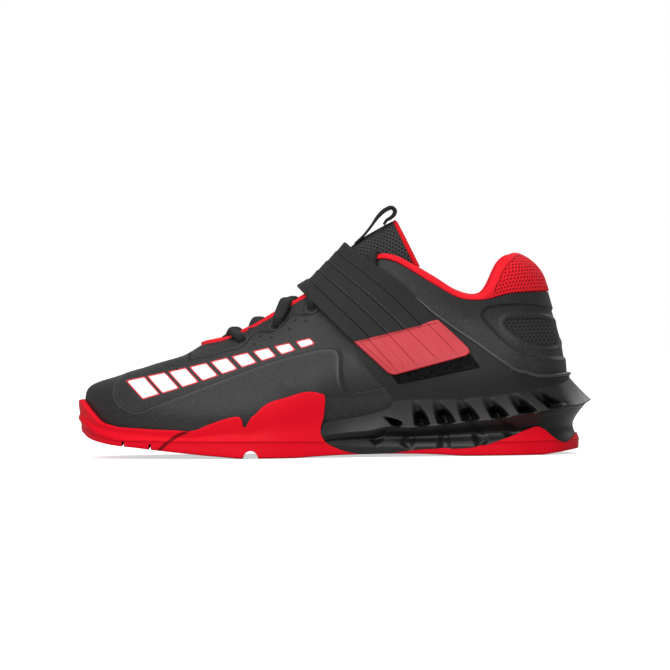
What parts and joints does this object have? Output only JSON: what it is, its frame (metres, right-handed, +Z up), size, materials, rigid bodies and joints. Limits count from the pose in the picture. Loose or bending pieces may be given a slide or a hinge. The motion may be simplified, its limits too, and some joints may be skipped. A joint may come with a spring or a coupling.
{
  "type": "weightlifting shoe",
  "caption": "Low left weightlifting shoe with a raised hard heel, a strap over the instep, laces, a mesh tongue and a padded collar.",
  "frame": {"origin": "on the ground, under the middle of the shoe's length and width", "axes": "-X towards the toe, +X towards the heel, -Y towards the outer side of the foot, +Z up"},
  "size_m": [0.2998, 0.1045, 0.1458],
  "materials": {
    "red_rubber": "satin",
    "black_plate": "satin",
    "grey_leather": "matte",
    "insole_cloth": "matte",
    "red_mesh": "matte",
    "black_mesh": "matte",
    "black_webbing": "matte",
    "red_tab": "satin",
    "black_loops": "matte",
    "black_lace": "matte"
  },
  "bodies": {
    "root": {"outsole": "red_rubber", "heel_frame": "black_plate", "upper": "grey_leather", "insole": "insole_cloth", "collar": "red_mesh", "tongue": "black_mesh", "strap": "black_webbing", "strap_tab": "red_tab", "loop_patch": "black_loops", "lace_1": "black_lace", "lace_2": "black_lace", "lace_3": "black_lace", "pull_loop": "black_webbing"}
  },
  "joints": []
}
